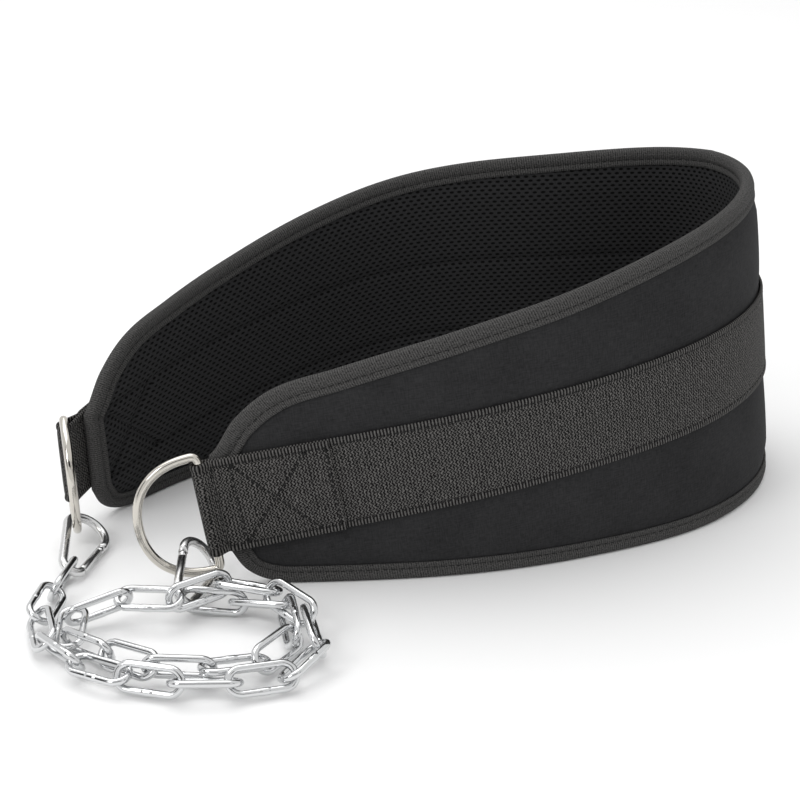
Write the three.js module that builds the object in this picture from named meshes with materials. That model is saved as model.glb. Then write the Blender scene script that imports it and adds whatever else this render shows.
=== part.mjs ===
import * as THREE from 'three'
import { mergeVertices } from 'three/addons/utils/BufferGeometryUtils.js'

// A dip belt: a padded band that stands on its lower edge, curved as round a waist and open in front.
// Webbing runs along its outside, a D-ring hangs in a loop of it at each end, and a steel chain joins
// the two rings by snap hooks and lies on the floor. Millimetres and degrees, +Z up, floor at Z = 0.

// The padded band
const BELT_LENGTH = 833
const BACK_HEIGHT = 181
const BAND_THICKNESS = 8
const EDGE_THICKNESS = 3.2
const PINCH_WIDTH = 18
const LINING_THICKNESS = 1.5
const BINDING_WIDTH = 10
const BINDING_THICKNESS = 1.2

// The webbing
const STRAP_WIDTH = 50
const STRAP_THICKNESS = 1.6
const STRAP_GAP = 0.55
const FOLD_LENGTH = 62

// The D-rings
const RING_WIRE = 5
const RING_SPAN = 63
const RING_DEPTH = 36.7
const RING_CORNER = 4

// The snap hooks
const HOOK_WIRE = 5
const HOOK_LENGTH = 55
const HOOK_WIDTH = 28.5
const HOOK_NECK = 16.7
const NOSE_LENGTH = 4
const GATE_DIAMETER = 4.6

// The chain
const LINK_WIRE = 3.8
const LINK_LENGTH = 37
const LINK_WIDTH = 16.5
const LINK_COUNT = 24
const HOOK_HOLD = 3.4

// Gaps between pieces that touch, and between hard pieces that move
const CLEARANCE = 0.3
const HINGE_GAP = 0.4

// Way round the waist from the near end: share of the length, heading and outward lean in degrees.
const PLAN = [
  { along: 0, heading: -0.6, lean: -4.7 },
  { along: 1 / 9, heading: 4.3, lean: -0.4 },
  { along: 2 / 9, heading: 21.2, lean: 0.4 },
  { along: 3 / 9, heading: 45.2, lean: -4.2 },
  { along: 4 / 9, heading: 90.4, lean: -6.2 },
  { along: 5 / 9, heading: 179.8, lean: -5.8 },
  { along: 6 / 9, heading: 177.9, lean: -5 },
  { along: 7 / 9, heading: 209.8, lean: -3.8 },
  { along: 8 / 9, heading: 222.1, lean: -6.5 },
  { along: 1, heading: 239.9, lean: -5.9 },
]

// Outline of the band from either end: distance from the end as a share of the length, height of the
// webbing's middle and of the flap above it as shares of the back's height, and how far the lower
// edge has come down from the webbing to the floor, from 0 to 1.
const PROFILE = [
  { from_end: 0, middle: 0.252, flap: 0, down: 0 },
  { from_end: 0.007, middle: 0.258, flap: 0.025, down: 0.62 },
  { from_end: 0.022, middle: 0.272, flap: 0.097, down: 0.94 },
  { from_end: 0.048, middle: 0.296, flap: 0.161, down: 1 },
  { from_end: 0.084, middle: 0.328, flap: 0.187, down: 1 },
  { from_end: 0.144, middle: 0.378, flap: 0.224, down: 1 },
  { from_end: 0.216, middle: 0.43, flap: 0.264, down: 1 },
  { from_end: 0.3, middle: 0.473, flap: 0.309, down: 1 },
  { from_end: 0.396, middle: 0.501, flap: 0.339, down: 1 },
  { from_end: 0.5, middle: 0.507, flap: 0.355, down: 1 },
]

// How each ring hangs: length of its loop past the binding, turn about its bar and slide down the bar.
const RINGS = {
  near: { loop: 8.7, turn: 12, slide: -2.2 },
  far: { loop: 13.5, turn: -42, slide: -2.2 },
}

// How each hook lies on its ring: place round the ring's bow (0 at its upper end, 1 at its lower
// end), heading and rise of the hook's length, roll about it, and where the ring's wire stands
// inside the hook, along its length from the crown and across it.
const HOOKS = {
  near: { bow: 0.9, heading: 82, rise: 4, roll: 230, from_crown: 16, across: 5 },
  far: { bow: 0.72, heading: 85, rise: 4, roll: 35, from_crown: 13, across: 5.5 },
}

// Places on the floor that the chain passes, from the far hook to the near one, chosen by eye.
const ROUTE = [
  { x: -86, y: -68, z: 9 },
  { x: -64, y: -101, z: 9 },
  { x: -5, y: -124, z: 10 },
  { x: 52, y: -106, z: 9 },
  { x: 52, y: -76, z: 14 },
  { x: 47, y: -63, z: 15 },
  { x: 13, y: -38, z: 19 },
  { x: -22, y: -53, z: 16 },
  { x: -37, y: -47, z: 16 },
  { x: -78, y: -68, z: 8 },
  { x: -62, y: -84, z: 9 },
  { x: -17, y: -113, z: 12 },
  { x: 37, y: -94, z: 8 },
  { x: 42, y: -76, z: 10 },
  { x: 36, y: -52, z: 13 },
  { x: -12, y: -40, z: 7 },
]

// Roll of each link about its length, in degrees from lying flat.
const ROLLS = [65, -35, 40, -60, 10, 65, 155, 45, -30, 65, 125, 20, 95, 160, 65, 5, -75, 50, 110, 175, 55, -65, 30, 85]

const METALS = {
  nickel: { color: 0xcfcac0, roughness: 0.22, metalness: 1 },
  zinc: { color: 0xc9ccd0, roughness: 0.28, metalness: 1 },
}
const CLOTHS = {
  neoprene: { color: 0x262628, roughness: 0.9, metalness: 0 },
  mesh: { color: 0x151516, roughness: 0.95, metalness: 0 },
  tape: { color: 0x3a3937, roughness: 0.85, metalness: 0 },
  webbing: { color: 0x2d2d2d, roughness: 0.8, metalness: 0 },
}

const group = new THREE.Group()
const radians = THREE.MathUtils.degToRad

// Names a geometry, gives it its material and puts it in the group.
function add(name, geometry, finish, matrix = new THREE.Matrix4()) {
  const mesh = new THREE.Mesh(geometry, new THREE.MeshStandardMaterial(finish))
  mesh.name = name
  mesh.position.setFromMatrixPosition(matrix)
  mesh.quaternion.setFromRotationMatrix(matrix)
  group.add(mesh)
}

// Value and slope of a table's column at a place, on one smooth curve through its rows.
function read(rows, place, column, at) {
  const tangent = (i) => {
    const a = rows[Math.max(i - 1, 0)]
    const b = rows[Math.min(i + 1, rows.length - 1)]
    return (b[column] - a[column]) / (b[place] - a[place])
  }
  let i = 0
  while (i < rows.length - 2 && rows[i + 1][place] <= at) i += 1
  const width = rows[i + 1][place] - rows[i][place]
  const t = (at - rows[i][place]) / width
  const [p, q] = [rows[i][column], rows[i + 1][column]]
  const [m, n] = [tangent(i) * width, tangent(i + 1) * width]
  const value = (2 * t ** 3 - 3 * t ** 2 + 1) * p + (t ** 3 - 2 * t ** 2 + t) * m
    + (3 * t ** 2 - 2 * t ** 3) * q + (t ** 3 - t ** 2) * n
  const slope = ((6 * t ** 2 - 6 * t) * (p - q) + (3 * t ** 2 - 4 * t + 1) * m + (3 * t ** 2 - 2 * t) * n) / width
  return { value, slope }
}

// Points of the waist line seen from above, worked out by following the heading from the near end.
const PLAN_STEPS = 600
const waist = [new THREE.Vector2(0, 0)]
for (let i = 0; i < PLAN_STEPS; i += 1) {
  const heading = radians(read(PLAN, 'along', 'heading', (i + 0.5) / PLAN_STEPS).value)
  const step = new THREE.Vector2(Math.cos(heading), Math.sin(heading)).multiplyScalar(BELT_LENGTH / PLAN_STEPS)
  waist.push(waist[i].clone().add(step))
}

// The waist line at a distance from the near end, carried on straight past both ends.
function line(s) {
  const inside = THREE.MathUtils.clamp(s, 0, BELT_LENGTH)
  const at = inside / BELT_LENGTH
  const i = Math.min(Math.floor(at * PLAN_STEPS), PLAN_STEPS - 1)
  const point = waist[i].clone().lerp(waist[i + 1], at * PLAN_STEPS - i)
  const heading = radians(read(PLAN, 'along', 'heading', at).value)
  const tangent = new THREE.Vector2(Math.cos(heading), Math.sin(heading))
  point.addScaledVector(tangent, s - inside)
  const lean = Math.tan(radians(read(PLAN, 'along', 'lean', at).value))
  const from_end = Math.min(at, 1 - at)
  const side = at < 0.5 ? 1 : -1
  const middle = read(PROFILE, 'from_end', 'middle', from_end)
  const rise = side * middle.slope * BACK_HEIGHT / BELT_LENGTH
  const height = middle.value * BACK_HEIGHT + rise * (s - inside)
  return { point, tangent, lean, rise, height, from_end }
}

// A place on the belt: distance along it, height above the floor and distance out from its middle.
function place(s, z, out) {
  const { point, tangent, lean, rise, height } = line(s)
  const outward = out + (z - height) * lean
  const back = (z - height) * rise
  return new THREE.Vector3(
    point.x + tangent.y * outward - tangent.x * back,
    point.y - tangent.x * outward - tangent.y * back,
    z,
  )
}

// Heights of the band's two edges, with their slopes along the belt.
function edges(s) {
  const { height, rise, from_end } = line(s)
  const side = s < BELT_LENGTH / 2 ? 1 : -1
  const flap = read(PROFILE, 'from_end', 'flap', from_end)
  const down = read(PROFILE, 'from_end', 'down', from_end)
  const under = height - STRAP_WIDTH / 2
  return {
    top: height + STRAP_WIDTH / 2 + flap.value * BACK_HEIGHT,
    bottom: Math.max(under * (1 - down.value), 0),
    top_slope: rise + side * flap.slope * BACK_HEIGHT / BELT_LENGTH,
    bottom_slope: rise * (1 - down.value) - side * down.slope * under / BELT_LENGTH,
  }
}

// Half thickness of the padded band at a distance in from its edge.
function half(inward) {
  const share = THREE.MathUtils.clamp(inward / PINCH_WIDTH, 0, 1)
  return THREE.MathUtils.lerp(EDGE_THICKNESS, BAND_THICKNESS, share) / 2
}

// Skins a row of sections into one closed body. Each section is a loop of points in the same order,
// and each four-sided face is split along its shorter diagonal.
function skin(sections, closed) {
  const count = sections[0].length
  const positions = sections.flat().flatMap((p) => [p.x, p.y, p.z])
  const faces = []
  const last = closed ? sections.length : sections.length - 1
  for (let i = 0; i < last; i += 1) {
    const next = (i + 1) % sections.length
    for (let j = 0; j < count; j += 1) {
      const k = (j + 1) % count
      const [a, b, c, d] = [i * count + j, next * count + j, next * count + k, i * count + k]
      const ac = sections[i][j].distanceTo(sections[next][k])
      const bd = sections[next][j].distanceTo(sections[i][k])
      if (ac < bd) faces.push(a, b, c, a, c, d)
      else faces.push(a, b, d, b, c, d)
    }
  }
  if (!closed) {
    const end = (sections.length - 1) * count
    for (const [a, b, c] of capFaces(sections[0])) faces.push(a, b, c)
    for (const [a, b, c] of capFaces(sections[sections.length - 1])) faces.push(end + a, end + c, end + b)
  }
  let geometry = new THREE.BufferGeometry()
  geometry.setAttribute('position', new THREE.Float32BufferAttribute(positions, 3))
  geometry.setIndex(faces)
  geometry = mergeVertices(geometry, 1e-4)
  geometry.computeVertexNormals()
  return geometry
}

// Triangles that close a section, worked out in its own plane.
function capFaces(section) {
  const middle = section.reduce((sum, p) => sum.add(p), new THREE.Vector3()).divideScalar(section.length)
  const normal = new THREE.Vector3()
  section.forEach((p, i) => {
    const q = section[(i + 1) % section.length]
    normal.add(new THREE.Vector3().crossVectors(p.clone().sub(middle), q.clone().sub(middle)))
  })
  const across = section[0].clone().sub(middle).normalize()
  const up = new THREE.Vector3().crossVectors(normal.normalize(), across)
  const flat = section.map((p) => {
    const d = p.clone().sub(middle)
    return new THREE.Vector2(d.dot(across), d.dot(up))
  })
  return THREE.ShapeUtils.triangulateShape(flat, [])
}

// A round wire along a flat path. The path lies in X and Y, and the wire is closed or has flat ends.
function wire(path, diameter, sides, closed) {
  const sections = path.map((p, i) => {
    const before = path[closed ? (i + path.length - 1) % path.length : Math.max(i - 1, 0)]
    const after = path[closed ? (i + 1) % path.length : Math.min(i + 1, path.length - 1)]
    const into = p.clone().sub(before).normalize()
    const from = after.clone().sub(p).normalize()
    const way = into.add(from).normalize()
    const loop = []
    for (let j = 0; j < sides; j += 1) {
      const angle = (j + 0.5) * 2 * Math.PI / sides
      const out = Math.cos(angle) * diameter / 2
      loop.push(new THREE.Vector3(p.x + way.y * out, p.y - way.x * out, Math.sin(angle) * diameter / 2))
    }
    return loop
  })
  return skin(sections, closed)
}

// Points of an arc about a centre, from one angle to another.
function arc(x, y, radius, from, to, steps) {
  const points = []
  for (let i = 0; i <= steps; i += 1) {
    const angle = THREE.MathUtils.lerp(from, to, i / steps)
    points.push(new THREE.Vector2(x + radius * Math.cos(angle), y + radius * Math.sin(angle)))
  }
  return points
}

// Frame of a piece: its X and Y directions and its origin.
function frame(x, y, origin) {
  const z = new THREE.Vector3().crossVectors(x, y)
  return new THREE.Matrix4().makeBasis(x, y, z).setPosition(origin)
}

// Distances along the belt at which it is modelled, closer together at its rounded ends.
const BELT_STEP = 18
const end_places = [0.0024, 0.005, 0.011, 0.022, 0.034, 0.048].map((share) => share * BELT_LENGTH)
const first = end_places[end_places.length - 1]
const middle_count = Math.round((BELT_LENGTH - 2 * first) / BELT_STEP)
const stations = [...end_places]
for (let i = 1; i < middle_count; i += 1) {
  stations.push(THREE.MathUtils.lerp(first, BELT_LENGTH - first, i / middle_count))
}
stations.push(...end_places.map((s) => BELT_LENGTH - s).reverse())

// The neoprene band and its mesh lining: two layers that thin out together towards every edge.
const BINDING_SEAT = BINDING_THICKNESS + CLEARANCE
function layer(inner, outer) {
  const sections = stations.map((s) => {
    const { top, bottom, top_slope, bottom_slope } = edges(s)
    const top_run = Math.hypot(1, top_slope)
    const bottom_run = Math.hypot(1, bottom_slope)
    const low = bottom + BINDING_SEAT * bottom_run
    const high = top - BINDING_SEAT * top_run
    const heights = [low, low + PINCH_WIDTH * bottom_run, high - PINCH_WIDTH * top_run, high]
    if (heights[1] > heights[2]) {
      heights[1] = THREE.MathUtils.lerp(low, high, 0.45)
      heights[2] = THREE.MathUtils.lerp(low, high, 0.55)
    }
    const thickness = heights.map((z) => {
      const inward = Math.min((z - low) / bottom_run, (high - z) / top_run, s - end_places[0], BELT_LENGTH - end_places[0] - s)
      return half(inward)
    })
    const outside = heights.map((z, i) => place(s, z, outer(thickness[i])))
    const inside = heights.map((z, i) => place(s, z, inner(thickness[i])))
    return [...outside, ...inside.reverse()]
  })
  return skin(sections, false)
}
add('belt_body', layer((h) => -h + LINING_THICKNESS + CLEARANCE, (h) => h), CLOTHS.neoprene)
add('belt_lining', layer((h) => -h, (h) => -h + LINING_THICKNESS), CLOTHS.mesh)

// The binding: tape folded over the whole edge, along the bottom, up the far end and back over the top.
const END_STEPS = 3
const outline = []
for (const s of [0, ...stations.slice(1, -1), BELT_LENGTH]) outline.push(new THREE.Vector2(s, edges(s).bottom))
for (let i = 1; i < END_STEPS; i += 1) {
  const end = edges(BELT_LENGTH)
  outline.push(new THREE.Vector2(BELT_LENGTH, THREE.MathUtils.lerp(end.bottom, end.top, i / END_STEPS)))
}
for (const s of [BELT_LENGTH, ...stations.slice(1, -1).reverse(), 0]) outline.push(new THREE.Vector2(s, edges(s).top))
for (let i = 1; i < END_STEPS; i += 1) {
  const end = edges(0)
  outline.push(new THREE.Vector2(0, THREE.MathUtils.lerp(end.top, end.bottom, i / END_STEPS)))
}
const binding_sections = outline.map((p, i) => {
  const into = p.clone().sub(outline[(i + outline.length - 1) % outline.length]).normalize()
  const from = outline[(i + 1) % outline.length].clone().sub(p).normalize()
  const way = into.clone().add(from).normalize()
  const stretch = 1 / Math.max(way.dot(into), 0.5)
  const inward = new THREE.Vector2(-way.y, way.x).multiplyScalar(stretch)
  const face = (depth) => half(depth - BINDING_SEAT) + CLEARANCE
  const profile = [
    [0, face(BINDING_SEAT) + BINDING_THICKNESS],
    [0, -face(BINDING_SEAT) - BINDING_THICKNESS],
    [BINDING_WIDTH, -face(BINDING_WIDTH) - BINDING_THICKNESS],
    [BINDING_WIDTH, -face(BINDING_WIDTH)],
    [BINDING_THICKNESS, -face(BINDING_SEAT)],
    [BINDING_THICKNESS, face(BINDING_SEAT)],
    [BINDING_WIDTH, face(BINDING_WIDTH)],
    [BINDING_WIDTH, face(BINDING_WIDTH) + BINDING_THICKNESS],
  ]
  return profile.reverse().map(([depth, out]) => place(p.x + inward.x * depth, p.y + inward.y * depth, out))
})
add('belt_binding', skin(binding_sections, true), CLOTHS.tape)

// The webbing: from a free end it runs to the ring's bar, round it and back under itself along the belt.
const strap_low = BAND_THICKNESS / 2 + STRAP_GAP + STRAP_THICKNESS / 2
const strap_high = strap_low + STRAP_THICKNESS + CLEARANCE
const LOOP_RADIUS = RING_WIRE / 2 + CLEARANCE + STRAP_THICKNESS / 2
const bar_out = strap_low + LOOP_RADIUS * 0.6
const fold_places = [1, 0.8, 0.6, 0.4, 0.22, 0.08]
function fold(ring) {
  const flat = fold_places.map((share) => new THREE.Vector2(share * FOLD_LENGTH, strap_high))
  return [...flat, ...arc(LOOP_RADIUS - ring.loop, bar_out, LOOP_RADIUS, radians(70), radians(290), 9)]
}
const run = stations.filter((s) => s > fold_places[5] * FOLD_LENGTH && s < BELT_LENGTH - fold_places[5] * FOLD_LENGTH)
const strap_path = [
  ...fold(RINGS.near),
  ...run.map((s) => new THREE.Vector2(s, strap_low)),
  ...fold(RINGS.far).map((p) => new THREE.Vector2(BELT_LENGTH - p.x, p.y)).reverse(),
]
const strap_sections = strap_path.map((p, i) => {
  const before = strap_path[Math.max(i - 1, 0)]
  const after = strap_path[Math.min(i + 1, strap_path.length - 1)]
  const way = after.clone().sub(before).normalize()
  const side = new THREE.Vector2(-way.y, way.x).multiplyScalar(STRAP_THICKNESS / 2)
  const { height } = line(p.x)
  const corner = (up, out) => place(p.x + side.x * out, height + up * STRAP_WIDTH / 2, p.y + side.y * out)
  return [corner(-1, -1), corner(-1, 1), corner(1, 1), corner(1, -1)]
})
add('strap', skin(strap_sections, false), CLOTHS.webbing)

// A D-ring's outline: the straight bar along Y at X = 0, two round corners and the bow.
function ringShape() {
  const a = RING_SPAN / 2
  const shape = new THREE.Shape()
  shape.moveTo(0, a - RING_CORNER)
  shape.quadraticCurveTo(0, a, RING_CORNER, a)
  shape.bezierCurveTo(RING_DEPTH * 0.72, a, RING_DEPTH, a * 0.55, RING_DEPTH, 0)
  shape.bezierCurveTo(RING_DEPTH, -a * 0.55, RING_DEPTH * 0.72, -a, RING_CORNER, -a)
  shape.quadraticCurveTo(0, -a, 0, -a + RING_CORNER)
  return shape
}

// Each ring lies in its loop, and each hook on its ring.
const CROWN = (HOOK_WIDTH - HOOK_WIRE) / 2
const NECK = (HOOK_NECK - HOOK_WIRE) / 2
const HOOK_SPREAD = HOOK_LENGTH - HOOK_WIDTH / 2 - HOOK_NECK / 2
const TAPER = Math.asin((CROWN - NECK) / HOOK_SPREAD)
const GATE_PIVOT = GATE_DIAMETER / 2 + HINGE_GAP
const GATE_LENGTH = HOOK_SPREAD * Math.cos(TAPER) - NOSE_LENGTH - HINGE_GAP - GATE_PIVOT

// A hook's path: the nose, round the wide end, down the spine and round the narrow end to the hinge.
function hookPath() {
  const quarter = Math.PI / 2
  const gate_way = new THREE.Vector2(Math.cos(TAPER), -Math.sin(TAPER))
  const wide = arc(HOOK_SPREAD, 0, CROWN, -quarter - TAPER, quarter + TAPER, 12)
  const narrow = arc(0, 0, NECK, quarter + TAPER, 3 * quarter - TAPER, 8)
  const nose = wide[0].clone().addScaledVector(gate_way, -NOSE_LENGTH)
  return [nose, ...wide, ...narrow]
}

// A gate: a pin with a round end at its hinge and a flat one at the nose, along Y.
function gateGeometry() {
  const r = GATE_DIAMETER / 2
  const round = arc(0, 0, r, -Math.PI / 2, 0, 4)
  const tip = [new THREE.Vector2(r, GATE_LENGTH - r / 3), new THREE.Vector2(r * 0.75, GATE_LENGTH)]
  const profile = [...round, ...tip, new THREE.Vector2(0, GATE_LENGTH)]
  profile[0].x = 0
  const lathe = new THREE.LatheGeometry(profile, 10)
  lathe.deleteAttribute('normal')
  lathe.deleteAttribute('uv')
  const geometry = mergeVertices(lathe, 1e-4)
  geometry.computeVertexNormals()
  return geometry
}

const hook_ends = {}
for (const [end, side] of [['near', -1], ['far', 1]]) {
  const ring = RINGS[end]
  const s = side < 0 ? LOOP_RADIUS - ring.loop : BELT_LENGTH - LOOP_RADIUS + ring.loop
  const { height } = line(s)
  const centre = place(s, height, bar_out)
  const bar = place(s, height + STRAP_WIDTH / 2, bar_out).sub(centre).normalize()
  const along = place(s + side, line(s + side).height, bar_out).sub(centre)
  along.addScaledVector(bar, -along.dot(bar)).normalize()
  const outward = new THREE.Vector3().crossVectors(along, bar).multiplyScalar(side).normalize()
  const reach = along.clone().multiplyScalar(Math.cos(radians(ring.turn)))
  reach.addScaledVector(outward, Math.sin(radians(ring.turn)))
  const ring_frame = frame(reach, bar, centre.clone().addScaledVector(bar, ring.slide))
  const ring_shape = ringShape()
  add(`ring_${end}`, wire(ring_shape.getPoints(6).reverse(), RING_WIRE, 8, true), METALS.nickel, ring_frame)

  const hook = HOOKS[end]
  const on_bow = ring_shape.getPointAt(hook.bow)
  const seat = new THREE.Vector3(on_bow.x, on_bow.y, 0).applyMatrix4(ring_frame)
  const rise = radians(hook.rise)
  const flat = new THREE.Vector3(Math.cos(radians(hook.heading)), Math.sin(radians(hook.heading)), 0)
  const length = flat.clone().multiplyScalar(Math.cos(rise)).setZ(Math.sin(rise))
  const level = new THREE.Vector3(-flat.y, flat.x, 0)
  const lift = new THREE.Vector3().crossVectors(length, level)
  const roll = radians(hook.roll)
  const spine = level.multiplyScalar(Math.cos(roll)).addScaledVector(lift, Math.sin(roll))
  const origin = seat.clone().addScaledVector(length, -(HOOK_SPREAD + CROWN - hook.from_crown))
  origin.addScaledVector(spine, -hook.across)
  const hook_frame = frame(length, spine, origin)
  add(`hook_${end}`, wire(hookPath(), HOOK_WIRE, 8, false), METALS.zinc, hook_frame)

  const hinge_x = -NECK * Math.sin(TAPER) + GATE_PIVOT * Math.cos(TAPER)
  const hinge_y = -NECK * Math.cos(TAPER) - GATE_PIVOT * Math.sin(TAPER)
  const hinge = new THREE.Vector3(hinge_x, hinge_y, 0).applyMatrix4(hook_frame)
  const gate_way = length.clone().multiplyScalar(Math.cos(TAPER)).addScaledVector(spine, -Math.sin(TAPER))
  const gate_side = new THREE.Vector3().crossVectors(gate_way, new THREE.Vector3().crossVectors(length, spine))
  add(`gate_${end}`, gateGeometry(), METALS.zinc, frame(gate_side, gate_way, hinge))
  hook_ends[end] = origin
}

// The chain: links spaced evenly along one smooth curve between the narrow ends of the hooks.
const floor_route = ROUTE.map((p) => new THREE.Vector3(p.x, p.y, p.z))
function pulled(from, to) {
  return from.clone().add(to.clone().sub(from).setLength(HOOK_HOLD))
}
const start = pulled(hook_ends.far, floor_route[0])
const finish = pulled(hook_ends.near, floor_route[floor_route.length - 1])
const route = [start, ...floor_route, finish]
const chain_curve = new THREE.CatmullRomCurve3(route)
chain_curve.arcLengthDivisions = 2000
const joints = chain_curve.getSpacedPoints(LINK_COUNT)
const link_bend = (LINK_WIDTH - LINK_WIRE) / 2
const link_half = (LINK_LENGTH - LINK_WIDTH) / 2
const BEND_STEPS = 8
const link_path = [
  ...arc(link_half, 0, link_bend, -Math.PI / 2, Math.PI / 2, BEND_STEPS),
  ...arc(-link_half, 0, link_bend, Math.PI / 2, 3 * Math.PI / 2, BEND_STEPS),
]
const link_geometry = wire(link_path, LINK_WIRE, 6, true)
for (let i = 0; i < LINK_COUNT; i += 1) {
  const along = joints[i + 1].clone().sub(joints[i]).normalize()
  const level = new THREE.Vector3(-along.y, along.x, 0).normalize()
  const lift = new THREE.Vector3().crossVectors(along, level)
  const roll = radians(ROLLS[i % ROLLS.length])
  const across = level.clone().multiplyScalar(Math.cos(roll)).addScaledVector(lift, Math.sin(roll))
  const middle = joints[i].clone().lerp(joints[i + 1], 0.5)
  const number = String(i + 1).padStart(2, '0')
  add(`link_${number}`, link_geometry.clone(), METALS.zinc, frame(along, across, middle))
}

// The origin is on the floor under the middle of the whole object.
const box = new THREE.Box3().setFromObject(group, true)
group.position.set(-(box.min.x + box.max.x) / 2, -(box.min.y + box.max.y) / 2, 0)

export default group
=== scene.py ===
# %% [markdown]
# # A dip belt with its chain
# A dip belt is a padded band worn round the waist, with a chain that carries a weight in front.
# This lesson dresses its plain solids: cloth, webbing, stitches and plated steel. Each piece is
# made in metres in the place its solid holds, so nothing has to be fitted afterwards.

# %% The solids of model.glb, and the body that the belt rides on
import math

import bmesh
import bpy
from mathutils import Matrix, Vector


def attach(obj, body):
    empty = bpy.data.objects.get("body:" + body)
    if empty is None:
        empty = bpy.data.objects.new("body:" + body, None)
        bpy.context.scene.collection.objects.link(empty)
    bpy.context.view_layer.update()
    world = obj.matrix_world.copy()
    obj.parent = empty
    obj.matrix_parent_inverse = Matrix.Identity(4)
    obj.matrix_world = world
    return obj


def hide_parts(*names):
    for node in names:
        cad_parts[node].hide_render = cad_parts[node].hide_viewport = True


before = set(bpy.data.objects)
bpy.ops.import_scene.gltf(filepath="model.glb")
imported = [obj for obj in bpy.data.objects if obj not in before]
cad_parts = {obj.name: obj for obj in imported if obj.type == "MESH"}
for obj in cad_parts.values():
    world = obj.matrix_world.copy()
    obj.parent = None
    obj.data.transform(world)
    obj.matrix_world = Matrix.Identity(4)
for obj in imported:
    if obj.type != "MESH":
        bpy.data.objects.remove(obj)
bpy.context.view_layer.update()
BODY = "belt_and_chain"
MM = 0.001

# %% [markdown]
# ## The shape of the belt
# The band follows one line round the waist. A place on it is given by three numbers that a maker
# would use: the distance along the belt, the height above the floor and the distance out from the
# middle of the band. One function turns them into a point, and every cloth piece below is carried
# by it. A curve modifier could bend finished pieces too, but the layers would then be hard to keep
# on each other.

# %% Sizes of the belt, in millimetres
BELT_LENGTH = 833
BACK_HEIGHT = 181
BAND_THICKNESS = 8
EDGE_THICKNESS = 3.2
PINCH_WIDTH = 18
LINING_THICKNESS = 1.5
BINDING_WIDTH = 10
BINDING_SEAT = 1.5
STRAP_WIDTH = 50
STRAP_THICKNESS = 1.6
FOLD_LENGTH = 62
NEAR_END = (-108.84, -44.49)  # where the belt's near end stands

print("the belt is", BELT_LENGTH, "mm long and", BACK_HEIGHT, "mm high at the back")

# %% The tables of its shape, and how they are read
# Along the belt: share of its length, heading in degrees, lean outwards in degrees.
PLAN = [
    (0, -0.6, -4.7), (1 / 9, 4.3, -0.4), (2 / 9, 21.2, 0.4), (3 / 9, 45.2, -4.2),
    (4 / 9, 90.4, -6.2), (5 / 9, 179.8, -5.8), (6 / 9, 177.9, -5), (7 / 9, 209.8, -3.8),
    (8 / 9, 222.1, -6.5), (1, 239.9, -5.9),
]
# From an end to the middle: share of the length, the webbing's height and the flap above it as
# shares of the back's height, and how far the lower edge has come down to the floor.
PROFILE = [
    (0, 0.252, 0, 0), (0.007, 0.258, 0.025, 0.62), (0.022, 0.272, 0.097, 0.94),
    (0.048, 0.296, 0.161, 1), (0.084, 0.328, 0.187, 1), (0.144, 0.378, 0.224, 1),
    (0.216, 0.43, 0.264, 1), (0.3, 0.473, 0.309, 1), (0.396, 0.501, 0.339, 1),
    (0.5, 0.507, 0.355, 1),
]


def read(rows, column, at):
    """Value and slope of a table's column at a place, on one smooth curve through its rows."""
    def tangent(i):
        a, b = rows[max(i - 1, 0)], rows[min(i + 1, len(rows) - 1)]
        return (b[column] - a[column]) / (b[0] - a[0])
    i = 0
    while i < len(rows) - 2 and rows[i + 1][0] <= at:
        i += 1
    width = rows[i + 1][0] - rows[i][0]
    t = (at - rows[i][0]) / width
    p, q = rows[i][column], rows[i + 1][column]
    m, n = tangent(i) * width, tangent(i + 1) * width
    blend = 3 * t**2 - 2 * t**3
    value = (1 - blend) * p + blend * q + (t**3 - 2 * t**2 + t) * m + (t**3 - t**2) * n
    slope = 6 * (t**2 - t) * (p - q) + (3 * t**2 - 4 * t + 1) * m + (3 * t**2 - 2 * t) * n
    return value, slope / width


# %% From a place on the belt to a point
PLAN_STEPS = 600
waist = [Vector(NEAR_END)]
for i in range(PLAN_STEPS):
    heading = math.radians(read(PLAN, 1, (i + 0.5) / PLAN_STEPS)[0])
    step = BELT_LENGTH / PLAN_STEPS
    waist.append(waist[i] + Vector((math.cos(heading), math.sin(heading))) * step)


def clamp(value, low, high):
    return max(low, min(high, value))


def line(s):
    """The waist line at a distance along it: point, way, lean, rise, webbing's height, share."""
    inside = clamp(s, 0, BELT_LENGTH)
    at = inside / BELT_LENGTH
    i = min(int(at * PLAN_STEPS), PLAN_STEPS - 1)
    heading = math.radians(read(PLAN, 1, at)[0])
    tangent = Vector((math.cos(heading), math.sin(heading)))
    point = waist[i].lerp(waist[i + 1], at * PLAN_STEPS - i) + tangent * (s - inside)
    lean = math.tan(math.radians(read(PLAN, 2, at)[0]))
    from_end = min(at, 1 - at)
    middle, slope = read(PROFILE, 1, from_end)
    rise = (1 if at < 0.5 else -1) * slope * BACK_HEIGHT / BELT_LENGTH
    return point, tangent, lean, rise, middle * BACK_HEIGHT + rise * (s - inside), from_end


def place(s, z, out):
    """The point, in metres, at a distance along the belt, a height and a distance out."""
    point, tangent, lean, rise, height, _ = line(s)
    outward = out + (z - height) * lean
    back = (z - height) * rise
    x = point.x + tangent.y * outward - tangent.x * back
    y = point.y - tangent.x * outward - tangent.y * back
    return Vector((x, y, z)) * MM


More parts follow.
